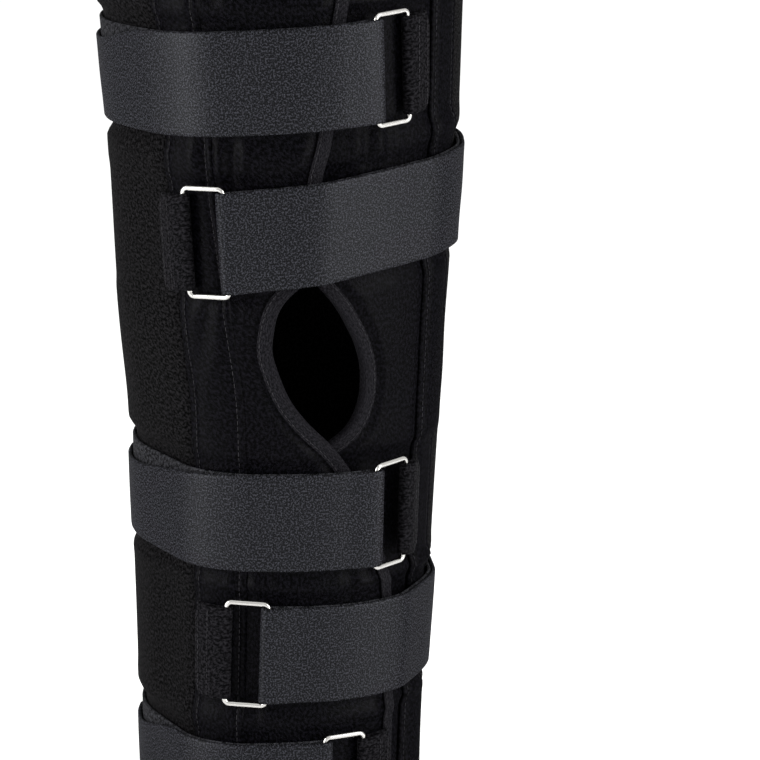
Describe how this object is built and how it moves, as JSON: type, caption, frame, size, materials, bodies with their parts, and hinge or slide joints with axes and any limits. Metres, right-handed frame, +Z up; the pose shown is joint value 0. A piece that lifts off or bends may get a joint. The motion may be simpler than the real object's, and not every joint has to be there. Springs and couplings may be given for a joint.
{
  "type": "knee immobilizer",
  "caption": "Padded wrap that closes round the leg with straps through wire rings and holds the knee straight, with an opening over the kneecap.",
  "frame": {"origin": "middle of the brace's outline in plan, on the plane that its lower rim stands on", "axes": "+Z up along the leg towards the thigh, -Y towards the front of the knee"},
  "size_m": [0.1878, 0.189, 0.5],
  "materials": {
    "brushed_fabric": "black brushed loop fabric",
    "smooth_fabric": "black smooth knit over foam",
    "edge_tape": "charcoal folded binding tape",
    "strap_knit": "charcoal heather knit loop strap",
    "chape_webbing": "black webbing",
    "bright_wire": "bright nickel plate"
  },
  "bodies": {
    "root": {"back_panel": "brushed_fabric", "front_panel_over": "smooth_fabric", "front_panel_under": "smooth_fabric", "edge_binding_over": "edge_tape", "edge_binding_under": "edge_tape", "rim_binding_top": "edge_tape", "rim_binding_bottom": "edge_tape", "stay_pocket_left": "smooth_fabric", "stay_pocket_right": "smooth_fabric", "strap_1": "strap_knit", "ring_1": "bright_wire", "chape_1": "chape_webbing", "strap_2": "strap_knit", "ring_2": "bright_wire", "chape_2": "chape_webbing", "strap_3": "strap_knit", "ring_3": "bright_wire", "chape_3": "chape_webbing", "strap_4": "strap_knit", "ring_4": "bright_wire", "chape_4": "chape_webbing", "strap_5": "strap_knit", "ring_5": "bright_wire", "chape_5": "chape_webbing", "strap_6": "strap_knit", "ring_6": "bright_wire", "chape_6": "chape_webbing"}
  },
  "joints": []
}
